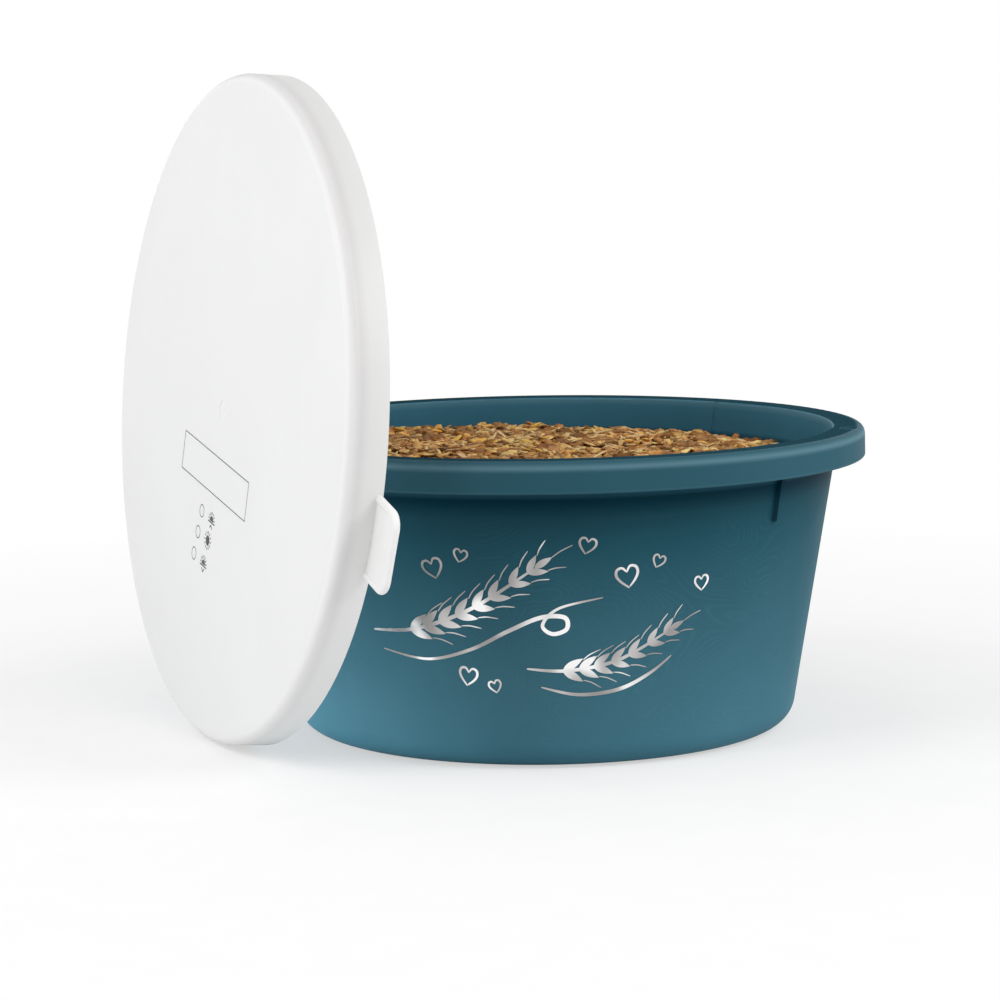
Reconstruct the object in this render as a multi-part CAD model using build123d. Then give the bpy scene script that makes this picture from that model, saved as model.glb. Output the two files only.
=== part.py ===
from build123d import *
import math
import os

os.makedirs("parts", exist_ok=True)

# A round feed bowl full of loose feed, with its press-on lid standing beside it.
# All lengths are millimetres and all angles are degrees.
# The bowl is drawn around the z axis with its foot on z = 0, the front of the bowl looks along -y.
# At the end everything moves sideways together, so that the middle of the whole group is the origin.

# Driving dimensions of the bowl
RIM_RADIUS = 143.0
RIM_OVERHANG = 13.0
BOWL_HEIGHT = 133.0
BAND_HEIGHT = 13.3
BAND_FLARE = 0.2
RIM_ROUNDING = 3.6
FLANGE_THICKNESS = 2.6
BAND_THICKNESS = 2.2
WALL_TAPER = 20.0
WALL_THICKNESS = 3.4
HEEL_ROUNDING = 12.0
FOOT_WIDTH = 6.6
FOOT_HEIGHT = 1.6
BASE_THICKNESS = 2.8
BASE_RING_RADII = (32.0, 62.0)
GATE_RADIUS = 2.6

# Driving dimensions of the stacking ribs and of the slots in the rim
RIB_ANGLES = (50.0, 140.0, 230.0, 320.0)
RIB_WIDTH = 2.2
RIB_STANDOUT = 2.4
RIB_LENGTH = 33.5
SINK_WIDTH = 2.6
SINK_DEPTH = 0.5
SLOT_ANGLES = (-11.0, 169.0)
SLOT_LENGTH = 15.0
SLOT_WIDTH = 7.0

# Driving dimensions of the lid
LID_WALL = 1.7
LID_EDGE_ROUNDING = 4.4
LID_CLEARANCE = 0.5
CATCH_DEPTH = 0.5
CATCH_HEIGHT = 2.8
SEAL_HEIGHT = 4.0
SEAL_THICKNESS = 1.4
SEAL_CLEARANCE = 0.8
EAR_WIDTH = 36.0
EAR_REACH = 21.0
EAR_BEAD = 1.7
EAR_CORNER = 5.5
EAR_ANGLE = -15.5
DIMPLE_RADIUS = 4.2

# How the lid stands: it leans on the rim with the open side towards the bowl
LID_TURN = 65.0
LID_LEAN = 4.8
LID_SIDESTEP = -19.0
LEAN_GAP = 0.3

# Driving dimensions of the feed
FEED_EDGE_HEIGHT = 118.2
FEED_CROWN_HEIGHT = 121.6
FEED_CLEARANCE = 0.3
LUMP_SPACING = 23.0
LUMP_HEIGHT = 3.0

# Sizes worked out from the driving dimensions
BAND_BOTTOM = BOWL_HEIGHT - BAND_HEIGHT
WALL_RADIUS_AT_BAND = RIM_RADIUS - RIM_OVERHANG
WALL_RADIUS_AT_FLOOR = WALL_RADIUS_AT_BAND - WALL_TAPER
FLANGE_UNDERSIDE = BOWL_HEIGHT - FLANGE_THICKNESS
WALL_SLOPE = WALL_TAPER / BAND_BOTTOM
DRAFT = math.degrees(math.atan(WALL_SLOPE))
FLOOR_TOP = FOOT_HEIGHT + BASE_THICKNESS
INNER_ROUNDING = HEEL_ROUNDING - 1.5
BAND_INSIDE = RIM_RADIUS - BAND_THICKNESS
BAND_FOOT_RADIUS = RIM_RADIUS + BAND_FLARE
LID_INSIDE_RADIUS = RIM_RADIUS + LID_CLEARANCE
LID_OUTSIDE_RADIUS = LID_INSIDE_RADIUS + LID_WALL
LID_ROOM = BAND_HEIGHT + CATCH_HEIGHT
LID_DEPTH = LID_ROOM + LID_WALL


def outer_wall(height):
    """Outside radius of the tapered wall at a height."""
    return WALL_RADIUS_AT_FLOOR + WALL_SLOPE * height


def inner_wall(height):
    """Inside radius of the tapered wall at a height."""
    return outer_wall(height) - WALL_THICKNESS


def rounded_profile(corners):
    """A closed face in the xz plane from corners given as radius, height and rounding."""
    edges = []
    ends = []
    count = len(corners)
    for i in range(count):
        here = Vector(corners[i][0], 0, corners[i][1])
        before = Vector(corners[i - 1][0], 0, corners[i - 1][1])
        after = Vector(corners[(i + 1) % count][0], 0, corners[(i + 1) % count][1])
        rounding = corners[i][2]
        if rounding == 0:
            ends.append((here, here))
            continue
        back = (before - here).normalized()
        ahead = (after - here).normalized()
        half_angle = math.radians(back.get_angle(ahead)) / 2
        reach = rounding / math.tan(half_angle)
        inward = (back + ahead).normalized()
        start = here + back * reach
        end = here + ahead * reach
        middle = here + inward * (rounding / math.sin(half_angle) - rounding)
        edges.append(ThreePointArc(start, middle, end))
        ends.append((start, end))
    for i in range(count):
        leave = ends[i][1]
        arrive = ends[(i + 1) % count][0]
        edges.append(Line(leave, arrive))
    return Face(Wire(edges))


def turned(corners):
    """A solid turned around the z axis from a rounded profile."""
    return revolve(rounded_profile(corners), Axis.Z)


def bowl_shell():
    """Base, tapered wall, flat flange and turned-down band in one skin."""
    foot_outside = outer_wall(0) - HEEL_ROUNDING
    foot_inside = foot_outside - FOOT_WIDTH
    return turned([
        (0, FOOT_HEIGHT, 0),
        (foot_inside, FOOT_HEIGHT, 0),
        (foot_inside + FOOT_HEIGHT / 2, 0, 0),
        (outer_wall(0), 0, HEEL_ROUNDING),
        (outer_wall(FLANGE_UNDERSIDE), FLANGE_UNDERSIDE, 0),
        (BAND_INSIDE, FLANGE_UNDERSIDE, 0),
        (BAND_INSIDE + BAND_FLARE, BAND_BOTTOM, 0),
        (BAND_FOOT_RADIUS, BAND_BOTTOM, 0.8),
        (RIM_RADIUS, BOWL_HEIGHT, RIM_ROUNDING),
        (inner_wall(BOWL_HEIGHT), BOWL_HEIGHT, 1.4),
        (inner_wall(FLOOR_TOP), FLOOR_TOP, INNER_ROUNDING),
        (0, FLOOR_TOP, 0),
    ])


def stacking_rib():
    """One upright rib on the wall, widened into a web inside the hollow of the band."""
    low = BOWL_HEIGHT - RIB_LENGTH
    high = FLANGE_UNDERSIDE + 0.6
    blade = rounded_profile([
        (outer_wall(low) - 1.5, low, 0),
        (outer_wall(low) + RIB_STANDOUT, low, 0.9),
        (outer_wall(high) + RIB_STANDOUT, high, 0),
        (outer_wall(high) - 1.5, high, 0),
    ])
    web_low = BAND_BOTTOM + 3.5
    web = rounded_profile([
        (outer_wall(web_low) - 1.5, web_low, 0),
        (BAND_INSIDE + 0.8, web_low + 1.5, 0),
        (BAND_INSIDE + 0.8, high, 0),
        (outer_wall(high) - 1.5, high, 0),
    ])
    return extrude(blade, RIB_WIDTH / 2, both=True) + extrude(web, RIB_WIDTH / 3, both=True)


def sink_mark():
    """The faint groove that a rib leaves on the inside of the wall."""
    length = RIB_LENGTH + 6
    middle = BOWL_HEIGHT - length / 2 + 2
    groove = Box(2 * SINK_DEPTH, SINK_WIDTH, length)
    groove = fillet(groove.edges().filter_by(Axis.Z).group_by(Axis.X)[-1], SINK_DEPTH)
    return Pos(inner_wall(middle), 0, middle) * Rot(0, DRAFT, 0) * groove


def flange_slot():
    """The oval cut through the flat flange, long way round the rim."""
    radius = (outer_wall(FLANGE_UNDERSIDE) + BAND_INSIDE) / 2
    oval = SlotOverall(SLOT_LENGTH, SLOT_WIDTH, rotation=90)
    cut = extrude(oval, 4 * FLANGE_THICKNESS)
    flare = extrude(SlotOverall(SLOT_LENGTH + 0.8, SLOT_WIDTH + 0.8, rotation=90), 1, taper=45)
    return Pos(radius, 0, FLANGE_UNDERSIDE - FLANGE_THICKNESS) * cut + (
        Pos(radius, 0, BOWL_HEIGHT) * Rot(180, 0, 0) * flare
    )


def gate_mark():
    """The small nub that the moulding leaves under the base."""
    nub = Cylinder(GATE_RADIUS, 0.8, align=(Align.CENTER, Align.CENTER, Align.MAX))
    return Pos(0, 0, FOOT_HEIGHT + 0.2) * nub


def base_rings():
    """Two low rings under the base that stiffen it."""
    rings = None
    for radius in BASE_RING_RADII:
        ring = turned([
            (radius - 0.8, FOOT_HEIGHT - 0.7, 0),
            (radius + 0.8, FOOT_HEIGHT - 0.7, 0),
            (radius + 1.4, FOOT_HEIGHT + 0.4, 0),
            (radius - 1.4, FOOT_HEIGHT + 0.4, 0),
        ])
        rings = ring if rings is None else rings + ring
    return rings


def make_bowl():
    """The whole bowl."""
    bowl = bowl_shell() + gate_mark() + base_rings()
    for angle in RIB_ANGLES:
        bowl += Rot(0, 0, angle) * stacking_rib()
    for angle in RIB_ANGLES:
        bowl -= Rot(0, 0, angle) * sink_mark()
    for angle in SLOT_ANGLES:
        bowl -= Rot(0, 0, angle) * flange_slot()
    return bowl


def lid_cap():
    """Flat face, skirt, catch bead and sealing ring, with the open side on z = 0."""
    catch_tip = BAND_FOOT_RADIUS - CATCH_DEPTH
    seal_outside = inner_wall(BOWL_HEIGHT) - SEAL_CLEARANCE
    seal_inside = seal_outside - SEAL_THICKNESS
    return turned([
        (0, LID_DEPTH, 0),
        (LID_OUTSIDE_RADIUS - 0.3, LID_DEPTH, LID_EDGE_ROUNDING),
        (LID_OUTSIDE_RADIUS, 0.3, 0),
        (LID_OUTSIDE_RADIUS - 0.3, 0, 0),
        (LID_INSIDE_RADIUS + 0.4, 0, 0),
        (catch_tip, CATCH_HEIGHT * 0.55, 0.6),
        (LID_INSIDE_RADIUS, CATCH_HEIGHT * 0.95, 0),
        (LID_INSIDE_RADIUS, LID_ROOM, 2.4),
        (seal_outside, LID_ROOM, 0),
        (seal_outside - 0.1, LID_ROOM - SEAL_HEIGHT + 0.6, 0),
        (seal_outside - 0.5, LID_ROOM - SEAL_HEIGHT, 0),
        (seal_inside + 0.3, LID_ROOM - SEAL_HEIGHT, 0),
        (seal_inside, LID_ROOM, 0),
        (0, LID_ROOM, 0),
    ])


def pull_ear():
    """The grip on the skirt: a thin web inside a round bead bent like a U."""
    start = LID_INSIDE_RADIUS - 0.1
    outer = LID_OUTSIDE_RADIUS + EAR_REACH - EAR_BEAD
    side = EAR_WIDTH / 2 - EAR_BEAD
    corner = EAR_CORNER
    bend = corner * (1 - math.sqrt(0.5))
    path = Wire([
        Line((start, side, EAR_BEAD), (outer - corner, side, EAR_BEAD)),
        ThreePointArc(
            (outer - corner, side, EAR_BEAD),
            (outer - bend, side - bend, EAR_BEAD),
            (outer, side - corner, EAR_BEAD),
        ),
        Line((outer, side - corner, EAR_BEAD), (outer, corner - side, EAR_BEAD)),
        ThreePointArc(
            (outer, corner - side, EAR_BEAD),
            (outer - bend, bend - side, EAR_BEAD),
            (outer - corner, -side, EAR_BEAD),
        ),
        Line((outer - corner, -side, EAR_BEAD), (start, -side, EAR_BEAD)),
    ])
    bead_start = Plane(origin=(start, side, EAR_BEAD), z_dir=(1, 0, 0))
    bead = sweep(bead_start * Circle(EAR_BEAD), path)
    web = Pos(start, 0, EAR_BEAD / 2) * Box(
        outer - start, 2 * side, EAR_BEAD, align=(Align.MIN, Align.CENTER, Align.MIN)
    )
    web = fillet(web.edges().filter_by(Axis.Z).group_by(Axis.X)[-1], corner)
    return bead + web


def face_gate():
    """The shallow dimple with a nub at the middle of the lid's face."""
    dimple = Pos(0, 0, LID_DEPTH) * Cylinder(DIMPLE_RADIUS, 0.6)
    nub = Pos(0, 0, LID_DEPTH - 0.25) * Cylinder(GATE_RADIUS / 2, 0.3)
    return dimple - nub


def make_lid():
    """The whole lid, flat on z = 0 with the open side down."""
    lid = lid_cap() + Rot(0, 0, EAR_ANGLE) * pull_ear()
    return lid - face_gate()


def lid_stand():
    """The plane that carries the lid from flat to standing against the rim."""
    turn = math.radians(LID_TURN)
    lean = math.radians(LID_LEAN)
    outward = Vector(-math.sin(turn), -math.cos(turn), 0)
    along = Vector(math.cos(turn), -math.sin(turn), 0)
    face = outward * math.cos(lean) + Vector(0, 0, math.sin(lean))
    rounding_radius = RIM_RADIUS - RIM_ROUNDING
    rounding_height = BOWL_HEIGHT - RIM_ROUNDING
    touch = rounding_radius * math.cos(lean) + rounding_height * math.sin(lean) + RIM_ROUNDING + LEAN_GAP
    height = LID_OUTSIDE_RADIUS * math.cos(lean)
    reach = (touch - LID_ROOM - height * math.sin(lean)) / math.cos(lean)
    middle = outward * reach + along * LID_SIDESTEP + Vector(0, 0, height)
    return Plane(origin=middle, x_dir=along, z_dir=face)


def heap_height(radius):
    """Height of the feed's smooth crown at a distance from the middle."""
    share = min(radius / inner_wall(FEED_EDGE_HEIGHT), 1.2)
    return FEED_CROWN_HEIGHT - (FEED_CROWN_HEIGHT - FEED_EDGE_HEIGHT) * share ** 2.2


def lump_point(column, row):
    """One peak or hollow of the feed's uneven top, on a square grid round the middle."""
    x = column * LUMP_SPACING
    y = row * LUMP_SPACING
    wobble = math.sin(2.9 * column + 4.3 * row) + 0.6 * math.sin(7.7 * row - 1.3 * column)
    return Vector(x, y, heap_height(math.hypot(x, y)) + LUMP_HEIGHT / 2 * wobble / 1.6)


def uneven_block():
    """A square block whose top is the feed's uneven surface."""
    reach = math.ceil(inner_wall(BOWL_HEIGHT) / LUMP_SPACING)
    steps = range(-reach, reach)
    faces = []
    for column in steps:
        for row in steps:
            a = lump_point(column, row)
            b = lump_point(column + 1, row)
            c = lump_point(column + 1, row + 1)
            d = lump_point(column, row + 1)
            corners = ((a, b, c), (a, c, d)) if (column + row) % 2 else ((a, b, d), (b, c, d))
            faces += [Face(Wire.make_polygon(three, close=True)) for three in corners]
    across = range(-reach, reach + 1)
    edges = (
        [lump_point(-reach, step) for step in across],
        [lump_point(reach, step) for step in across],
        [lump_point(step, -reach) for step in across],
        [lump_point(step, reach) for step in across],
    )
    for edge in edges:
        foot = [Vector(edge[-1].X, edge[-1].Y, 0), Vector(edge[0].X, edge[0].Y, 0)]
        faces.append(Face(Wire.make_polygon(edge + foot, close=True)))
    side = reach * LUMP_SPACING
    floor = [(-side, -side), (side, -side), (side, side), (-side, side)]
    faces.append(Face(Wire.make_polygon(floor, close=True)))
    return Solid(Shell(faces))


def make_feed():
    """The loose feed as one closed heap, crowned in the middle, with an uneven top."""
    bevel_top = FLOOR_TOP + INNER_ROUNDING
    room = turned([
        (0, FLOOR_TOP, 0),
        (inner_wall(FLOOR_TOP) - INNER_ROUNDING, FLOOR_TOP, 0),
        (inner_wall(bevel_top) - FEED_CLEARANCE, bevel_top, 0),
        (inner_wall(BOWL_HEIGHT) - FEED_CLEARANCE, BOWL_HEIGHT, 0),
        (0, BOWL_HEIGHT, 0),
    ])
    return room & uneven_block()


bowl = make_bowl()
lid = lid_stand().location * make_lid()
feed = make_feed()

# The group's middle on the floor becomes the origin.
group = Compound(children=[Compound(bowl.wrapped), Compound(lid.wrapped)]).bounding_box()
to_middle = Pos(-(group.min.X + group.max.X) / 2, -(group.min.Y + group.max.Y) / 2, 0)

for name, shape in (("bowl", bowl), ("lid", lid), ("feed", feed)):
    placed = to_middle * shape
    export_step(placed, "parts/" + name + ".step")
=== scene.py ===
import math

import bpy
import numpy as np
from mathutils import Matrix, Vector


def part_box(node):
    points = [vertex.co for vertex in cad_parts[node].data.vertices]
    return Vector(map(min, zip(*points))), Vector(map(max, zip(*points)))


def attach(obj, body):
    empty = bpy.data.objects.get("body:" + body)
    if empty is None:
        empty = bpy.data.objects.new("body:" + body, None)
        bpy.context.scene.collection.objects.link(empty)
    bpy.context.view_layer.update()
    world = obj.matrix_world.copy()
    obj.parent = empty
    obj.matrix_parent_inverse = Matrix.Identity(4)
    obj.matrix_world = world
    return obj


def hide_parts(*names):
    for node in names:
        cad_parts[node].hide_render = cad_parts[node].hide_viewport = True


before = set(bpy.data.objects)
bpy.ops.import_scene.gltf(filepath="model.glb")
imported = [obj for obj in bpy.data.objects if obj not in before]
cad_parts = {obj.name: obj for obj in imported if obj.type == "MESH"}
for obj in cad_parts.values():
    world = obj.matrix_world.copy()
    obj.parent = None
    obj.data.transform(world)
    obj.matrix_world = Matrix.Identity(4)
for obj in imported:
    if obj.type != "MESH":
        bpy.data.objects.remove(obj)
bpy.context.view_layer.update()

# Sizes from the part's source, in metres
RIM_RADIUS = 0.1430
RIM_ROUNDING = 0.0036
BOWL_HEIGHT = 0.1330
BAND_BOTTOM = 0.1197
WALL_RADIUS_AT_FLOOR = 0.1100
WALL_SLOPE = 0.0200 / BAND_BOTTOM
WALL_THICKNESS = 0.0034
FLOOR_TOP = 0.0044
LID_RADIUS = 0.1452
LID_ROOM = 0.0161
LID_DEPTH = 0.0178
LID_TURN = math.radians(65.0)
LID_LEAN = math.radians(4.8)
LID_SIDESTEP = -0.019
LEAN_GAP = 0.0003
FEED_EDGE = 0.1182
FEED_CROWN = 0.1216
LUMP_SPACING = 0.023
LUMP_HEIGHT = 0.003

bowl_low, bowl_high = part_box("bowl")
BOWL = Vector(((bowl_low[0] + bowl_high[0]) / 2, (bowl_low[1] + bowl_high[1]) / 2, 0))


def outer_wall(z):
    return WALL_RADIUS_AT_FLOOR + WALL_SLOPE * z


def inner_wall(z):
    return outer_wall(z) - WALL_THICKNESS


# The lid's directions, along it, up it and out of its face, and the middle of its open side
outward = Vector((-math.sin(LID_TURN), -math.cos(LID_TURN), 0))
along = Vector((math.cos(LID_TURN), -math.sin(LID_TURN), 0))
face = outward * math.cos(LID_LEAN) + Vector((0, 0, math.sin(LID_LEAN)))
upward = face.cross(along)
touch = (
    (RIM_RADIUS - RIM_ROUNDING) * math.cos(LID_LEAN)
    + (BOWL_HEIGHT - RIM_ROUNDING) * math.sin(LID_LEAN)
    + RIM_ROUNDING
    + LEAN_GAP
)
lid_height = LID_RADIUS * math.cos(LID_LEAN)
lid_reach = (touch - LID_ROOM - lid_height * math.sin(LID_LEAN)) / math.cos(LID_LEAN)
LID = BOWL + outward * lid_reach + along * LID_SIDESTEP + Vector((0, 0, lid_height))


# Camera: focal length in picture widths, sensor in millimetres, places in metres, angles in radians,
# and the point that it looks at in shares of the picture
FOCAL = 3.2206
SENSOR = 36.0
DISTANCE = 10.0 * RIM_RADIUS
HEIGHT = 1.9828 * RIM_RADIUS
YAW = 0.0134
PITCH = 0.1277
ROLL = -0.0144
CENTRE = (0.5006, 0.4992)


def make_camera():
    """A camera in front of the bowl, a little above it, looking along y and slightly down."""
    forward_flat = Vector((-math.sin(YAW), math.cos(YAW), 0))
    right_flat = Vector((math.cos(YAW), math.sin(YAW), 0))
    forward = forward_flat * math.cos(PITCH) - Vector((0, 0, math.sin(PITCH)))
    up_flat = right_flat.cross(forward)
    right = right_flat * math.cos(ROLL) + up_flat * math.sin(ROLL)
    up = -right_flat * math.sin(ROLL) + up_flat * math.cos(ROLL)
    data = bpy.data.cameras.new("camera")
    data.sensor_width = SENSOR
    data.lens = FOCAL * SENSOR
    data.shift_x = 0.5 - CENTRE[0]
    data.shift_y = CENTRE[1] - 0.5
    data.clip_start = 0.05
    data.clip_end = 60.0
    camera = bpy.data.objects.new("camera", data)
    bpy.context.scene.collection.objects.link(camera)
    camera.matrix_world = Matrix((
        (right.x, up.x, -forward.x, BOWL.x),
        (right.y, up.y, -forward.y, BOWL.y - DISTANCE),
        (right.z, up.z, -forward.z, HEIGHT),
        (0, 0, 0, 1),
    ))
    bpy.context.scene.camera = camera


make_camera()


# Small helpers for the nodes of materials and of the world
class Nodes:
    """The emptied node tree of one material or world, with its output."""

    def __init__(self, owner, output="OutputMaterial"):
        self.owner = owner
        self.owner.use_nodes = True
        self.tree = owner.node_tree
        self.tree.nodes.clear()
        self.output = self.add(output)

    def add(self, kind, **settings):
        node = self.tree.nodes.new("ShaderNode" + kind)
        for key, value in settings.items():
            setattr(node, key, value)
        return node

    def link(self, source, target):
        self.tree.links.new(source, target)

    def principled(self, **inputs):
        shader = self.add("BsdfPrincipled")
        for key, value in inputs.items():
            shader.inputs[key.replace("_", " ")].default_value = value
        self.link(shader.outputs["BSDF"], self.output.inputs["Surface"])
        return shader

    def coords(self, scale=(1, 1, 1)):
        """The place on the object, in metres, times a scale."""
        source = self.add("TexCoord")
        mapping = self.add("Mapping")
        mapping.inputs["Scale"].default_value = scale
        self.link(source.outputs["Object"], mapping.inputs["Vector"])
        return mapping.outputs["Vector"]

    def height_of(self, vector):
        node = self.add("SeparateXYZ")
        self.link(vector, node.inputs["Vector"])
        return node.outputs["Z"]

    def vector(self, operation, first, second=None):
        """One operation on vectors; a dot product or a length gives a number."""
        node = self.add("VectorMath", operation=operation)
        self.link(first, node.inputs[0])
        if second is not None:
            node.inputs[1].default_value = second
        return node.outputs["Value" if operation in ("DOT_PRODUCT", "LENGTH") else "Vector"]

    def math(self, operation, first, second=0.0):
        node = self.add("Math", operation=operation)
        for socket, value in zip(node.inputs, (first, second)):
            if isinstance(value, (int, float)):
                socket.default_value = value
            else:
                self.link(value, socket)
        return node.outputs[0]

    def level(self, factor, low, high, start=0.0, end=1.0):
        """Low where the factor is at start or below, high where it is at end or above."""
        node = self.add("MapRange")
        node.inputs["From Min"].default_value = start
        node.inputs["From Max"].default_value = end
        node.inputs["To Min"].default_value = low
        node.inputs["To Max"].default_value = high
        self.link(factor, node.inputs["Value"])
        return node.outputs["Result"]

    def noise(self, vector, scale, detail, rough=0.5, distortion=0.0):
        node = self.add("TexNoise")
        node.inputs["Scale"].default_value = scale
        node.inputs["Detail"].default_value = detail
        node.inputs["Roughness"].default_value = rough
        node.inputs["Distortion"].default_value = distortion
        self.link(vector, node.inputs["Vector"])
        return node.outputs["Fac"]

    def ramp(self, factor, stops):
        """Colour by factor: each stop is a place from 0 to 1 and its colour."""
        node = self.add("ValToRGB")
        elements = node.color_ramp.elements
        while len(elements) < len(stops):
            elements.new(0.5)
        for element, (place, colour) in zip(elements, stops):
            element.position = place
            element.color = (*colour, 1)
        self.link(factor, node.inputs["Fac"])
        return node.outputs["Color"]

    def mix(self, factor, first, second, blend="MIX"):
        """The first colour at factor 0, the second at 1; a colour is a tuple or a socket."""
        node = self.add("Mix", data_type="RGBA", blend_type=blend)
        if isinstance(factor, (int, float)):
            node.inputs[0].default_value = factor
        else:
            self.link(factor, node.inputs[0])
        for socket, value in ((node.inputs[6], first), (node.inputs[7], second)):
            if isinstance(value, tuple):
                socket.default_value = (*value, 1)
            else:
                self.link(value, socket)
        return node.outputs[2]

    def bump(self, height, strength, distance, normal=None):
        node = self.add("Bump")
        node.inputs["Strength"].default_value = strength
        node.inputs["Distance"].default_value = distance
        self.link(height, node.inputs["Height"])
        if normal is not None:
            self.link(normal, node.inputs["Normal"])
        return node.outputs["Normal"]

    def white(self, kind, strength):
        """A white Emission or Background of the given strength."""
        node = self.add(kind)
        node.inputs["Color"].default_value = (1, 1, 1, 1)
        node.inputs["Strength"].default_value = strength
        return node.outputs[kind]

    def seen(self):
        """1 for what the camera sees, also in a shiny surface or through a clear one."""
        path = self.add("LightPath")
        seen = path.outputs["Is Camera Ray"]
        for kind in ("Is Glossy Ray", "Is Transmission Ray"):
            seen = self.math("MAXIMUM", seen, path.outputs[kind])
        return seen

    def blend_to_output(self, share, first, second):
        """Gives the output the first shader at share 0 and the second at 1."""
        mix = self.add("MixShader")
        self.link(share, mix.inputs["Fac"])
        self.link(first, mix.inputs[1])
        self.link(second, mix.inputs[2])
        self.link(mix.outputs["Shader"], self.output.inputs["Surface"])


# The bowl's plastic: heights are shares of the bowl's height, radii are metres from its axis
BAND_START = BAND_BOTTOM / BOWL_HEIGHT
FLANGE_HEIGHTS = (0.9975, 0.9990)
FLANGE_RADII = (0.1385, 0.1400)
INSIDE_RADII = (0.1292, 0.1306)


def bowl_colour_and_painted_light(nodes, here, height):
    """Teal by height and by distance from the axis, with painted light and shade, the flange's flat top
    painted darker, and a mask of that top.
    """
    # Outside: painted light and shade by height. The wall is painted lighter towards its foot and
    # darkest just under the band, as a painted shadow of the band. Thin painted highlights lie along the
    # band's lower edge and its upper rounding.
    outside = nodes.ramp(height, [
        (0.00, (0.058, 0.178, 0.238)),
        (0.16, (0.056, 0.164, 0.216)),
        (0.46, (0.037, 0.118, 0.157)),
        (0.72, (0.016, 0.074, 0.103)),
        (BAND_START - 0.090, (0.011, 0.056, 0.080)),
        (BAND_START - 0.042, (0.002, 0.028, 0.045)),
        (BAND_START - 0.004, (0.0003, 0.017, 0.029)),
        (BAND_START + 0.002, (0.038, 0.108, 0.140)),
        (BAND_START + 0.010, (0.026, 0.088, 0.119)),
        (0.966, (0.026, 0.087, 0.118)),
        (0.981, (0.090, 0.185, 0.228)),
        (0.995, (0.033, 0.098, 0.130)),
    ])
    # Inside, near the rim: painted lighter towards the top, with a painted highlight along the inner
    # edge.
    inside = nodes.ramp(height, [
        (0.930, (0.037, 0.137, 0.202)),
        (0.972, (0.042, 0.152, 0.224)),
        (0.990, (0.080, 0.205, 0.275)),
    ])
    from_axis = nodes.vector("MULTIPLY", nodes.vector("SUBTRACT", here, BOWL), (1, 1, 0))
    radius = nodes.vector("LENGTH", from_axis)
    inside_wall = nodes.level(radius, 1.0, 0.0, *INSIDE_RADII)
    near_rim = nodes.level(height, 0.0, 1.0, start=BAND_START - 0.03, end=BAND_START)
    tone = nodes.mix(nodes.math("MULTIPLY", inside_wall, near_rim), outside, inside)
    # Painted shade: the flange's flat top is painted darker. The same mask also makes it rougher.
    within_rounding = nodes.level(radius, 1.0, 0.0, *FLANGE_RADII)
    flange = nodes.math("MULTIPLY", within_rounding, nodes.level(height, 0.0, 1.0, *FLANGE_HEIGHTS))
    return nodes.mix(flange, tone, (0.010, 0.050, 0.070)), flange


def flow_lines(nodes, here, height):
    """Thin contour lines of the melt's flow, in patches on the lower wall."""
    stretched = nodes.coords((1.0, 1.0, 1.6))
    contour = nodes.noise(stretched, scale=11.0, detail=1.2, rough=0.4, distortion=1.8)
    stripe = nodes.math("FRACT", nodes.math("MULTIPLY", contour, 46.0))
    beside = nodes.math("ABSOLUTE", nodes.math("SUBTRACT", stripe, 0.5))
    line = nodes.level(beside, 1.0, 0.0, start=0.0, end=0.24)
    patch = nodes.level(nodes.noise(here, scale=15.0, detail=2.0), 0.0, 1.0, start=0.48, end=0.64)
    low = nodes.level(height, 1.0, 0.0, start=0.55, end=BAND_START - 0.02)
    return nodes.math("MULTIPLY", nodes.math("MULTIPLY", line, patch), low)


def bowl_plastic():
    """Satin teal moulding with painted light and shade by height, cloudy pigment, faint flow lines and
    fine grain.
    """
    nodes = Nodes(bpy.data.materials.new("bowl_teal_plastic"))
    shader = nodes.principled(IOR=1.45, Specular_IOR_Level=0.025)
    here = nodes.coords()
    height = nodes.level(nodes.height_of(here), 0.0, 1.0, start=0.0, end=BOWL_HEIGHT)
    tone, flange = bowl_colour_and_painted_light(nodes, here, height)
    cloud = nodes.noise(here, scale=9.0, detail=3.0, rough=0.55, distortion=0.4)
    base = nodes.mix(nodes.level(cloud, 0.0, 0.16, start=0.35, end=0.70), tone, (0.001, 0.020, 0.032))
    flow = flow_lines(nodes, here, height)
    base = nodes.mix(nodes.math("MULTIPLY", flow, 0.09), base, (0.10, 0.24, 0.30))
    nodes.link(base, shader.inputs["Base Color"])
    grain = nodes.noise(here, scale=1500.0, detail=2.0)
    satin = nodes.level(cloud, 0.46, 0.56, start=0.35, end=0.7)
    rough = nodes.math("ADD", satin, nodes.level(grain, -0.02, 0.02))
    rough = nodes.math("ADD", rough, nodes.math("MULTIPLY", flange, 0.5))
    nodes.link(rough, shader.inputs["Roughness"])
    skin = nodes.bump(grain, strength=0.10, distance=0.0003)
    wave = nodes.noise(here, scale=55.0, detail=3.0, distortion=0.5)
    relief = nodes.math("ADD", wave, nodes.math("MULTIPLY", flow, 0.15))
    nodes.link(nodes.bump(relief, strength=0.10, distance=0.0012, normal=skin), shader.inputs["Normal"])
    return nodes.owner


# The lid's plastic: depths are shares of its depth, from its open side to its face
SKIRT_DEPTHS = (0.90, 0.99)
EAR_FADE = 0.014


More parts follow.
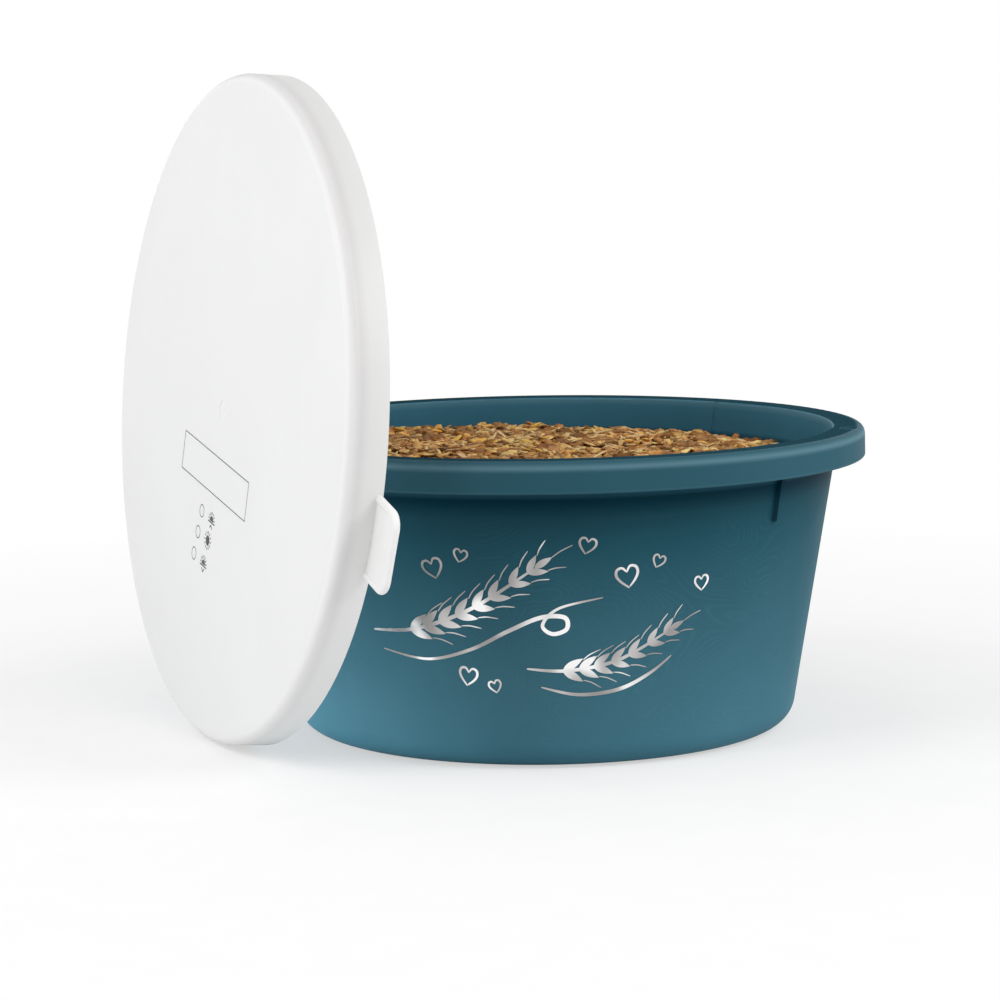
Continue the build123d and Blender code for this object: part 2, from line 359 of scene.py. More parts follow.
def lid_colour_and_painted_light(nodes, here):
    """Milky white by depth, with painted light and shade: a painted highlight on the lip, a painted
    shade line and a darker skirt. The skirt is painted darker near its top and paler near its foot, and
    the ear stays plain white.
    """
    away = nodes.vector("SUBTRACT", here, LID)
    depth = nodes.level(nodes.vector("DOT_PRODUCT", away, face), 0.0, 1.0, start=0.0, end=LID_DEPTH)
    # By depth: the face, at depth 1, has the plastic's own white. The lip just before it is lighter, a
    # painted highlight. The skirt is painted darker as shade, with a darker painted shade line at about
    # two thirds of the depth.
    tone = nodes.ramp(depth, [
        (0.00, (0.800, 0.800, 0.790)),
        (0.45, (0.770, 0.770, 0.760)),
        (0.66, (0.690, 0.682, 0.680)),
        (0.76, (0.740, 0.728, 0.728)),
        (0.88, (0.830, 0.815, 0.817)),
        (0.96, (0.892, 0.884, 0.886)),
        (0.985, (0.892, 0.890, 0.892)),
        (1.00, (0.856, 0.857, 0.859)),
    ])
    # Painted shade: the skirt is painted darker towards the top of the standing lid.
    rise = nodes.level(nodes.height_of(away), 0.0, 1.0, start=-LID_RADIUS, end=LID_RADIUS)
    skirt = nodes.level(depth, 1.0, 0.0, *SKIRT_DEPTHS)
    shade = nodes.math("MULTIPLY", skirt, rise)
    tone = nodes.mix(nodes.math("MULTIPLY", shade, 0.30), tone, (0.36, 0.355, 0.35))
    # Painted light: the skirt is painted paler near its foot.
    foot = nodes.math("MULTIPLY", skirt, nodes.level(rise, 1.0, 0.0, start=0.0, end=0.50))
    tone = nodes.mix(nodes.math("MULTIPLY", foot, 0.45), tone, (0.945, 0.940, 0.940))
    # The ear keeps the plastic's own white, without the skirt's painted shade and light.
    radius = nodes.vector("LENGTH", nodes.vector("CROSS_PRODUCT", away, face))
    ear = nodes.level(radius, 0.0, 1.0, start=LID_RADIUS, end=LID_RADIUS + EAR_FADE)
    return nodes.mix(ear, tone, (0.855, 0.850, 0.850))


def lid_plastic():
    """Milky soft plastic with painted light and shade by depth, faint cloud, a few specks and fine
    grain.
    """
    nodes = Nodes(bpy.data.materials.new("lid_milky_plastic"))
    shader = nodes.principled(
        IOR=1.51,
        Specular_IOR_Level=0.3,
        Subsurface_Weight=0.12,
        Subsurface_Scale=0.004,
        Subsurface_Radius=(1.0, 0.95, 0.9),
    )
    here = nodes.coords()
    cloud = nodes.noise(here, scale=11.0, detail=4.0, rough=0.55, distortion=0.8)
    clouded = nodes.level(cloud, 0.0, 0.10, start=0.30, end=0.70)
    base = nodes.mix(clouded, lid_colour_and_painted_light(nodes, here), (0.70, 0.70, 0.71))
    speck = nodes.noise(here, scale=420.0, detail=2.0)
    base = nodes.mix(nodes.level(speck, 0.0, 0.25, start=0.72, end=0.80), base, (0.62, 0.62, 0.62))
    nodes.link(base, shader.inputs["Base Color"])
    nodes.link(nodes.level(cloud, 0.38, 0.52, start=0.3, end=0.7), shader.inputs["Roughness"])
    grain = nodes.noise(here, scale=1300.0, detail=2.0)
    skin = nodes.bump(grain, strength=0.08, distance=0.0003)
    wave = nodes.noise(here, scale=30.0, detail=3.0, distortion=0.8)
    nodes.link(nodes.bump(wave, strength=0.12, distance=0.0015, normal=skin), shader.inputs["Normal"])
    return nodes.owner


def foil():
    """Silver foil print with a soft shimmer and fine grain."""
    nodes = Nodes(bpy.data.materials.new("silver_foil"))
    shader = nodes.principled(Metallic=1.0)
    sweep = nodes.noise(nodes.coords((44, 44, 30)), scale=1.0, detail=1.0, distortion=0.6)
    base = nodes.ramp(sweep, [
        (0.38, (0.33, 0.32, 0.315)),
        (0.50, (0.55, 0.54, 0.535)),
        (0.61, (0.97, 0.965, 0.96)),
    ])
    nodes.link(base, shader.inputs["Base Color"])
    grain = nodes.noise(nodes.coords(), scale=900.0, detail=3.0, rough=0.6)
    nodes.link(nodes.level(grain, 0.28, 0.48, start=0.3, end=0.7), shader.inputs["Roughness"])
    nodes.link(nodes.bump(grain, strength=0.15, distance=0.0002), shader.inputs["Normal"])
    return nodes.owner


def ink():
    """Thin grey-black print on the lid, a little uneven."""
    nodes = Nodes(bpy.data.materials.new("lid_print_ink"))
    shader = nodes.principled(Specular_IOR_Level=0.3)
    grain = nodes.noise(nodes.coords(), scale=1100.0, detail=3.0, rough=0.6)
    base = nodes.ramp(grain, [(0.30, (0.030, 0.031, 0.034)), (0.72, (0.120, 0.120, 0.126))])
    nodes.link(base, shader.inputs["Base Color"])
    nodes.link(nodes.level(grain, 0.45, 0.65, start=0.3, end=0.7), shader.inputs["Roughness"])
    return nodes.owner


def crumb_mass():
    """The heap under the loose bits: brown crumbs with darker patches."""
    nodes = Nodes(bpy.data.materials.new("feed_crumbs"))
    shader = nodes.principled(Specular_IOR_Level=0.2)
    here = nodes.coords()
    crumbs = nodes.noise(here, scale=520.0, detail=5.0, rough=0.7)
    patch = nodes.noise(here, scale=110.0, detail=3.0, rough=0.6)
    base = nodes.ramp(crumbs, [
        (0.30, (0.050, 0.022, 0.007)),
        (0.50, (0.190, 0.090, 0.030)),
        (0.70, (0.420, 0.230, 0.085)),
    ])
    base = nodes.mix(nodes.level(patch, 0.0, 0.5, start=0.4, end=0.7), base, (0.050, 0.023, 0.009))
    nodes.link(base, shader.inputs["Base Color"])
    nodes.link(nodes.level(crumbs, 0.7, 0.9), shader.inputs["Roughness"])
    nodes.link(nodes.bump(crumbs, strength=0.8, distance=0.002), shader.inputs["Normal"])
    return nodes.owner


def grain_skin(name, dark, light, rough=(0.55, 0.8), shine=0.25, stripe=400.0):
    """Skin of one kind of bit: its own tint from the mesh, fibre streaks and specks."""
    nodes = Nodes(bpy.data.materials.new(name))
    shader = nodes.principled(Specular_IOR_Level=shine)
    tint = nodes.add("VertexColor", layer_name="tint")
    streaks = nodes.coords((stripe * 0.4, stripe, stripe))
    fibre = nodes.noise(streaks, scale=1.0, detail=4.0, rough=0.65, distortion=0.8)
    base = nodes.ramp(fibre, [(0.28, dark), (0.72, light)])
    base = nodes.mix(1.0, base, tint.outputs["Color"], "MULTIPLY")
    speck = nodes.noise(nodes.coords(), scale=1400.0, detail=2.0, rough=0.6)
    darker = tuple(channel * 0.45 for channel in dark)
    base = nodes.mix(nodes.level(speck, 0.0, 0.45, start=0.60, end=0.72), base, darker)
    nodes.link(base, shader.inputs["Base Color"])
    nodes.link(nodes.level(fibre, *rough, start=0.3, end=0.7), shader.inputs["Roughness"])
    relief = nodes.math("ADD", fibre, speck)
    nodes.link(nodes.bump(relief, strength=0.35, distance=0.0006), shader.inputs["Normal"])
    return nodes.owner


def dress_cad():
    """Materials for the two mouldings that stay as the CAD made them."""
    for node, material in (("bowl", bowl_plastic()), ("lid", lid_plastic())):
        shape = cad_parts[node]
        shape.data.materials.clear()
        shape.data.materials.append(material)


dress_cad()


def new_piece(name, vertices, faces, material, smooth=True):
    mesh = bpy.data.meshes.new(name)
    mesh.from_pydata(vertices, [], faces)
    mesh.validate()
    mesh.materials.append(material)
    if smooth:
        mesh.shade_smooth()
    piece = bpy.data.objects.new(name, mesh)
    bpy.context.scene.collection.objects.link(piece)
    return piece


# Prints: flat drawings in millimetres, of thin ribbons and filled shapes, laid on a surface
MILLIMETRES_IN_METRE = 1000
PRINT_RADIUS = 0.1215
PRINT_TURN = math.radians(-9.9)
FOIL_LIFT = 0.00008
INK_LIFT = 0.00006
FINE_LINE = 0.42
BOLD_LINE = 0.6


def smooth_line(points, steps):
    """Points of a soft curve through the given ones, with the same number of steps between each two."""
    points = [np.array(point, float) for point in points]
    last = len(points) - 1
    line = []
    for i in range(last):
        before = points[max(i - 1, 0)]
        after = points[min(i + 2, last)]
        a, b = points[i], points[i + 1]
        for step in range(steps):
            t = step / steps
            line.append(0.5 * (
                2 * a
                + (b - before) * t
                + (2 * before - 5 * a + 4 * b - after) * t * t
                + (3 * a - before - 3 * b + after) * t ** 3
            ))
    line.append(points[last])
    return line


class Print:
    """Collects the ribbons and filled shapes of one drawing and lays them on a surface."""

    def __init__(self, place, lift):
        self.place = place
        self.lift = lift
        self.vertices = []
        self.faces = []

    def ribbon(self, line, width_at):
        """A ribbon along a line; its width depends on how far along it is, from 0 to 1."""
        count = len(line)
        start = len(self.vertices)
        for i, point in enumerate(line):
            ahead = line[min(i + 1, count - 1)] - line[max(i - 1, 0)]
            length = math.hypot(*ahead) or 1.0
            side = np.array([-ahead[1], ahead[0]]) / length
            half = width_at(i / (count - 1)) / 2
            self.vertices.append(self.place(point + side * half, self.lift))
            self.vertices.append(self.place(point - side * half, self.lift))
        for i in range(count - 1):
            a = start + 2 * i
            self.faces.append((a, a + 1, a + 3, a + 2))

    def stroke(self, points, width, taper, steps):
        """A soft curve that narrows from its middle to a share of its width at both ends."""
        low = taper * width
        line = smooth_line(points, steps)
        self.ribbon(line, lambda share: low + (width - low) * math.sin(math.pi * share) ** 0.6)

    def line(self, points, width):
        """Straight runs of one width."""
        self.ribbon([np.array(point, float) for point in points], lambda share: width)

    def blob(self, outline):
        """A filled shape, as a fan round the middle of its outline."""
        start = len(self.vertices)
        centre = np.mean(np.array(outline), axis=0)
        self.vertices.append(self.place(centre, self.lift))
        for point in outline:
            self.vertices.append(self.place(np.array(point, float), self.lift))
        count = len(outline)
        for i in range(count):
            self.faces.append((start, start + 1 + i, start + 1 + (i + 1) % count))

    def piece(self, name, material):
        return new_piece(name, self.vertices, self.faces, material, smooth=False)


def on_bowl(point, lift):
    """Drawing to bowl wall: x is the arc to the right of the front, y the height."""
    z = point[1] / MILLIMETRES_IN_METRE
    angle = point[0] / MILLIMETRES_IN_METRE / PRINT_RADIUS
    radius = outer_wall(z) + lift
    return (BOWL.x + radius * math.sin(angle), BOWL.y - radius * math.cos(angle), z)


def on_lid(point, lift):
    """Drawing to lid face: x and y from the lid's middle, turned as the print is."""
    cos, sin = math.cos(PRINT_TURN), math.sin(PRINT_TURN)
    x = (point[0] * cos - point[1] * sin) / MILLIMETRES_IN_METRE
    y = (point[0] * sin + point[1] * cos) / MILLIMETRES_IN_METRE
    spot = LID + along * x + upward * y + face * (LID_DEPTH + lift)
    return tuple(spot)


def turned(points, centre, angle, scale):
    """Points scaled and turned about the origin, then moved to the centre."""
    cos, sin = math.cos(angle), math.sin(angle)
    return [
        (centre[0] + scale * (x * cos - y * sin), centre[1] + scale * (x * sin + y * cos))
        for x, y in points
    ]


def arc(centre, radius, sweep, steps):
    """Points of an arc that starts to the right of its centre."""
    turns = [sweep * i / steps for i in range(steps + 1)]
    return [(centre[0] + radius * math.cos(turn), centre[1] + radius * math.sin(turn)) for turn in turns]


def direction(start, end):
    return math.atan2(end[1] - start[1], end[0] - start[0])


# A heart's halves, about one unit wide, and the whiskers of seeds that are one unit long. Pairs of
# seeds start at one share of the stem and run over another. The other numbers are shares of a size.
HEART_LEFT = [(0.0, 0.28), (-0.18, 0.50), (-0.42, 0.46), (-0.50, 0.20), (-0.34, -0.12), (0.02, -0.50)]
HEART_RIGHT = [(0.0, 0.26), (0.20, 0.52), (0.46, 0.44), (0.52, 0.16), (0.36, -0.14), (0.05, -0.44)]
SIDE_WHISKER = [(0.98, 0.0), (1.35, 0.06), (1.85, 0.02)]
END_WHISKER = [(0.98, 0.0), (1.5, 0.02), (2.1, -0.05)]
WHISKER_WIDTH = 0.32
WHISKER_SLANT = 0.9
PAIRS_START = 0.30
PAIRS_RUN = 0.66
SEED_SLANT = 0.52
SEED_SHRINK = 0.30
SEED_WIDTH = 0.36
END_SEED_LENGTH = 0.72
END_SEED_WIDTH = 0.26


def heart(drawing, centre, size, tilt, width):
    """An open, hand-drawn heart in two strokes."""
    for half in (HEART_LEFT, HEART_RIGHT):
        drawing.stroke(turned(half, centre, tilt, size), width, taper=0.45, steps=8)


def kernel(drawing, spot, way, length, width):
    """One filled seed, round at the root and drawn out to a point, fuller on its left side."""
    steps = 12
    left = [(k / steps, 0.5) for k in range(steps + 1)]
    right = [(k / steps, -0.42) for k in range(steps - 1, 0, -1)]
    outline = [
        (t, side * width / length * math.sin(math.pi * t ** 0.8) ** 0.9)
        for t, side in left + right
    ]
    drawing.blob(turned(outline, spot, way, length))


def whisker(drawing, points, spot, way, length, width):
    drawing.stroke(turned(points, spot, way, length), width * WHISKER_WIDTH, taper=0.4, steps=6)


def grain_ear(drawing, stem, pairs, size, width):
    """A sprig of grain: a bent stem with pairs of seeds and one at its end, each with a whisker."""
    drawing.stroke(stem, width, taper=0.35, steps=14)
    line = smooth_line(stem, 24)
    for i in range(pairs):
        share = PAIRS_START + PAIRS_RUN * i / (pairs - 1)
        k = int(share * (len(line) - 2))
        spot = line[k]
        way = direction(spot, line[k + 1])
        length = size * (1.0 - SEED_SHRINK * share)
        for slant in (SEED_SLANT, -SEED_SLANT):
            kernel(drawing, spot, way + slant, length, length * SEED_WIDTH)
            whisker(drawing, SIDE_WHISKER, spot, way + slant * WHISKER_SLANT, length, width)
    end = line[-1]
    way = direction(line[-3], end)
    kernel(drawing, end, way, size * END_SEED_LENGTH, size * END_SEED_WIDTH)
    whisker(drawing, END_WHISKER, end, way, size * END_SEED_LENGTH, width)


# The bowl's print: stems and sweeps by their points, then each heart's middle, size, tilt and line
LONG_STEM = [(-78, 58), (-56, 60), (-30, 70), (-4, 87)]
SHORT_STEM = [(-8, 44), (10, 43), (32, 47), (54, 58)]
LOOPED_SWEEP = [
    (-74, 50), (-52, 47), (-32, 52), (-16, 60), (-2, 66), (8, 66),
    (9, 61), (3, 59), (-1, 63), (6, 70), (24, 74),
]
PLAIN_SWEEP = [(-2, 36), (14, 32.5), (32, 34), (46, 40), (56, 47)]
HEARTS = [
    ((-46, 86), 8.2, 0.28, 1.1),
    ((-34, 92), 5.4, -0.25, 0.9),
    ((17, 96), 6.6, -0.22, 1.0),
    ((34, 82), 9.0, 0.20, 1.2),
    ((47, 88), 5.2, -0.35, 0.9),
    ((-34, 40), 7.6, -0.18, 1.1),
    ((-22, 36), 5.2, 0.25, 0.9),
    ((68, 77), 6.2, 0.12, 1.0),
]


def bowl_print():
    """Two grain sprigs, two sweeping lines and eight hearts on the front of the wall."""
    drawing = Print(on_bowl, FOIL_LIFT)
    grain_ear(drawing, LONG_STEM, pairs=8, size=12.0, width=1.7)
    grain_ear(drawing, SHORT_STEM, pairs=7, size=11.0, width=1.6)
    drawing.stroke(LOOPED_SWEEP, 1.9, taper=0.2, steps=12)
    drawing.stroke(PLAIN_SWEEP, 1.7, taper=0.2, steps=12)
    for centre, size, tilt, width in HEARTS:
        heart(drawing, centre, size, tilt, width)
    piece = drawing.piece("bowl_print", foil())
    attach(piece, "bowl_body")


# The lid's print: a framed field, then each row's circle, its sun's rise and its arrow's way
FIELD_LEFT, FIELD_RIGHT, FIELD_TOP, FIELD_BOTTOM = -44.2, 41.6, -21.2, -38.2
ROWS = [((-11.9, -49.2), -0.9, 1), ((-13.9, -59.4), 0.0, 0), ((-16.0, -69.9), -1.2, -1)]
TICK_RADIUS = 2.75
SUN_STEP = 13.4
SUN_RADIUS = 2.3
RAY_START = 2.9
RAY_END = 4.2
HORIZON_HALF = 4.4
HORIZON_DROP = 0.6
ARROW_DROP = 2.5
ARROW_HALF_WIDTH = 1.6
ARROW_HALF_HEIGHT = 0.8


def sun_sign(drawing, x, y, way):
    """A whole sun, or half a sun on its horizon with an arrow up (1) or down (-1) below it."""
    if way == 0:
        drawing.blob(arc((x, y), SUN_RADIUS, 2 * math.pi, 20)[:-1])
        rays = [i * math.pi / 6 for i in range(12)]
    else:
        drawing.blob(arc((x, y), SUN_RADIUS, math.pi, 12))
        low = y - HORIZON_DROP
        drawing.line([(x - HORIZON_HALF, low), (x + HORIZON_HALF, low)], BOLD_LINE)
        rays = [math.pi * (i + 0.5) / 7 for i in range(7)]
    for angle in rays:
        cos, sin = math.cos(angle), math.sin(angle)
        start = (x + RAY_START * cos, y + RAY_START * sin)
        end = (x + RAY_END * cos, y + RAY_END * sin)
        drawing.line([start, end], BOLD_LINE)
    if way != 0:
        middle = y - ARROW_DROP
        tip = (x, middle + way * ARROW_HALF_HEIGHT)
        foot = middle - way * ARROW_HALF_HEIGHT
        drawing.line([(x - ARROW_HALF_WIDTH, foot), tip], BOLD_LINE)
        drawing.line([tip, (x + ARROW_HALF_WIDTH, foot)], BOLD_LINE)


def lid_print():
    """An empty framed field, and below it three rows of a circle and a sun."""
    drawing = Print(on_lid, INK_LIFT)
    corners = [
        (FIELD_LEFT, FIELD_TOP),
        (FIELD_RIGHT, FIELD_TOP),
        (FIELD_RIGHT, FIELD_BOTTOM),
        (FIELD_LEFT, FIELD_BOTTOM),
    ]
    for start, end in zip(corners, corners[1:] + corners[:1]):
        drawing.line([start, end], FINE_LINE)
    for (x, y), rise, way in ROWS:
        drawing.line(arc((x, y), TICK_RADIUS, 2 * math.pi, 28), FINE_LINE)
        sun_sign(drawing, x + SUN_STEP, y + rise, way)
    piece = drawing.piece("lid_print", ink())
    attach(piece, "lid_body")


bowl_print()
lid_print()


# The feed: a crumbly heap with loose flakes, husks, stalks and seeds on top. Drops and gaps are in
# metres. Bits spread over a share of the heap, and rise by a share of what hangs below their middle.
HEAP_TILT = 0.02
HEAP_SIDES = 144
HEAP_RINGS = 46
HEAP_BOTTOM = FLOOR_TOP + 0.0001
HEAP_FOOT = [(0.0970, HEAP_BOTTOM), (0.1020, 0.0068), (0.1062, 0.0112)]
HEAP_LEVELS = [0.02, 0.05, 0.08, 0.105]
HEAP_WALL_GAP = 0.0004
HEAP_EDGE_GAP = 0.0005
HEAP_DROP = 0.0018
HEAP_ROUGHNESS = 0.00035
BIT_DROP = 0.0023
BIT_EDGE_GAP = 0.0008
BIT_WALL_GAP = 0.0006
BIT_BRIM_GAP = 0.001
BIT_SPREAD = 0.985
BIT_RISE = 0.45

rng = np.random.default_rng(41)


def lump(column, row):
    """Offset of the solid's uneven top at one point of its grid."""
    wobble = np.sin(2.9 * column + 4.3 * row) + 0.6 * np.sin(7.7 * row - 1.3 * column)
    return LUMP_HEIGHT / 2 * wobble / 1.6


def heap_height(x, y):
    """Height of the feed's top: the solid's crown and lumps, softened between them, and a tilt."""
    share = np.clip(np.hypot(x, y) / inner_wall(FEED_EDGE), 0, 1.2)
    crown = FEED_CROWN - (FEED_CROWN - FEED_EDGE) * share ** 2.2
    u = np.asarray(x) / LUMP_SPACING
    v = np.asarray(y) / LUMP_SPACING
    i = np.floor(u)
    j = np.floor(v)
    a = (u - i) ** 2 * (3 - 2 * (u - i))
    b = (v - j) ** 2 * (3 - 2 * (v - j))
    near = lump(i, j) * (1 - a) + lump(i + 1, j) * a
    far = lump(i, j + 1) * (1 - a) + lump(i + 1, j + 1) * a
    return crown + near * (1 - b) + far * b - HEAP_TILT * x


def as_feed(piece):
    """Says that a piece lies in the bowl in place of the plain solid."""
    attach(piece, "bowl_body")
    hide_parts("feed")


def heap():
    """Closed heap that fills the bowl, with a rough top."""
    vertices = [(BOWL.x, BOWL.y, HEAP_BOTTOM)]
    angles = np.linspace(0, 2 * math.pi, HEAP_SIDES, endpoint=False)
    loops = []

    def add_loop(radius, heights):
        loops.append(len(vertices))
        for angle, z in zip(angles, heights):
            x = BOWL.x + radius * math.cos(angle)
            y = BOWL.y + radius * math.sin(angle)
            vertices.append((x, y, float(z)))

    for radius, z in HEAP_FOOT:
        add_loop(radius, [z] * HEAP_SIDES)
    for z in HEAP_LEVELS:
        add_loop(inner_wall(z) - HEAP_WALL_GAP, [z] * HEAP_SIDES)
    for i in range(HEAP_RINGS):
        radius = (inner_wall(FEED_EDGE) - HEAP_EDGE_GAP) * (1 - i / HEAP_RINGS)
        tops = heap_height(radius * np.cos(angles), radius * np.sin(angles))
        add_loop(radius, tops - HEAP_DROP + rng.normal(0, HEAP_ROUGHNESS, HEAP_SIDES))
    top = len(vertices)
    vertices.append((BOWL.x, BOWL.y, float(heap_height(0, 0)) - HEAP_DROP))

    sides = [(i, (i + 1) % HEAP_SIDES) for i in range(HEAP_SIDES)]
    faces = [(0, loops[0] + j, loops[0] + i) for i, j in sides]
    for a, b in zip(loops, loops[1:]):
        faces += [(a + i, a + j, b + j, b + i) for i, j in sides]
    faces += [(loops[-1] + i, loops[-1] + j, top) for i, j in sides]
    as_feed(new_piece("feed_heap", vertices, faces, crumb_mass()))


def flake_shape(length, width, thick, curl, fold, ragged, sides):
    """One flake about its own middle: outline ring, raised inner ring, top and bottom middle."""
    angles = np.linspace(0, 2 * math.pi, sides, endpoint=False) + rng.uniform(0, 1)
    jitter = 1 + rng.uniform(-ragged, ragged, sides)
    x = 0.5 * length * np.cos(angles) * jitter
    y = 0.5 * width * np.sin(angles) * jitter
    edge = np.stack([x, y, curl * (x / length) ** 2 * 4 + fold * np.abs(y / width) * 2], 1)
    edge[:, 2] += rng.normal(0, thick * 0.25, sides)
    inner = edge * [0.58, 0.58, 0.45] + [0, 0, thick * 0.9]
    points = np.concatenate([edge, inner, [[0, 0, thick * 0.75], [0, 0, -thick * 0.6]]])
    faces = []
    for i in range(sides):
        j = (i + 1) % sides
        faces.append((i, j, sides + j, sides + i))
        faces.append((sides + i, sides + j, 2 * sides))
        faces.append((j, i, 2 * sides + 1))
    return points, faces


def stick_shape(length, thick, bend):
    """One stalk or seed about its own middle: a bent round stick with tapered ends."""
    sides = 6
    parts = 4
    points = []
    faces = []
    for k in range(parts + 1):
        t = k / parts
        swell = math.sin(math.pi * (0.08 + 0.84 * t)) ** 0.5
        centre = np.array([(t - 0.5) * length, bend * math.sin(math.pi * t), 0])
        for i in range(sides):
            angle = 2 * math.pi * i / sides
            points.append(centre + np.array([0, math.cos(angle), math.sin(angle)]) * thick / 2 * swell)
    for k in range(parts):
        for i in range(sides):
            j = (i + 1) % sides
            faces.append((k * sides + i, k * sides + j, (k + 1) * sides + j, (k + 1) * sides + i))
    faces.append(tuple(range(sides))[::-1])
    faces.append(tuple(parts * sides + i for i in range(sides)))
    return np.array(points), faces


def flakes(length, width, thick, curl, fold, ragged, sides=9):
    """A maker of flakes, whose measures are drawn between the given ends."""
    ranges = (length, width, thick, curl, fold)
    return lambda: flake_shape(*[rng.uniform(*ends) for ends in ranges], ragged, sides)


def sticks(length, thick, bend):
    """A maker of sticks, whose measures are drawn between the given ends."""
    return lambda: stick_shape(*[rng.uniform(*ends) for ends in (length, thick, bend)])


def turn_matrix(spin, tilt, lean):
    """Tilts about x, then leans about y, then spins about z."""
    cos, sin = math.cos, math.sin
    about_x = np.array([[1, 0, 0], [0, cos(tilt), -sin(tilt)], [0, sin(tilt), cos(tilt)]])
    about_y = np.array([[cos(lean), 0, sin(lean)], [0, 1, 0], [-sin(lean), 0, cos(lean)]])
    about_z = np.array([[cos(spin), -sin(spin), 0], [sin(spin), cos(spin), 0], [0, 0, 1]])
    return about_z @ about_y @ about_x


def keep_in_bowl(points):
    """Draws points in from the wall and down from the brim."""
    reach = np.hypot(points[:, 0], points[:, 1])
    room = inner_wall(points[:, 2]) - BIT_WALL_GAP
    shrink = np.minimum(1.0, room / np.maximum(reach, 1e-6))
    points[:, 0] *= shrink
    points[:, 1] *= shrink
    points[:, 2] = np.minimum(points[:, 2], BOWL_HEIGHT - BIT_BRIM_GAP)


def draw_tint(tints):
    """One of the tints, a little lighter or darker and a little off in hue."""
    tint = np.array(tints[rng.integers(len(tints))]) * rng.uniform(0.80, 1.12)
    return np.clip(tint * rng.uniform(0.95, 1.05, 3), 0, 1)


def scatter(name, material, count, make, tilt, lift, tints, upright=0.0):
    """Scatters one kind of bit over the heap and joins it into one piece."""
    vertices = []
    faces = []
    colours = []
    limit = inner_wall(FEED_EDGE) - BIT_EDGE_GAP
    total = 0
    for _ in range(count):
        radius = limit * math.sqrt(rng.uniform(0, 1)) * BIT_SPREAD
        angle = rng.uniform(0, 2 * math.pi)
        x, y = radius * math.cos(angle), radius * math.sin(angle)
        points, bits = make()
        spin = rng.uniform(0, 2 * math.pi)
        tilt_x, lean_y = rng.normal(0, tilt, 2)
        if rng.uniform(0, 1) < upright:
            lean_y = rng.choice((-1, 1)) * rng.uniform(0.5, 1.0)
        points = points @ turn_matrix(spin, tilt_x, lean_y).T
        height = float(heap_height(x, y)) - BIT_DROP + rng.uniform(*lift)
        points = points + [x, y, height - min(0.0, points[:, 2].min()) * BIT_RISE]
        keep_in_bowl(points)
        vertices.append(points + [BOWL.x, BOWL.y, 0])
        faces += [tuple(total + k for k in bit) for bit in bits]
        colours.append(np.tile(np.append(draw_tint(tints), 1.0), (len(points), 1)))
        total += len(points)
    piece = new_piece(name, np.concatenate(vertices).tolist(), faces, material)
    layer = piece.data.color_attributes.new("tint", "FLOAT_COLOR", "POINT")
    layer.data.foreach_set("color", np.concatenate(colours).astype(np.float32).ravel())
    as_feed(piece)


PALE_TINTS = [(1.0, 1.0, 1.0), (0.94, 0.86, 0.74), (0.78, 0.66, 0.52), (1.0, 0.92, 0.78)]
WARM_TINTS = [
    (1.0, 0.95, 0.85), (0.80, 0.70, 0.60), (0.55, 0.44, 0.34), (1.0, 1.0, 1.0), (0.88, 0.84, 0.82),
]


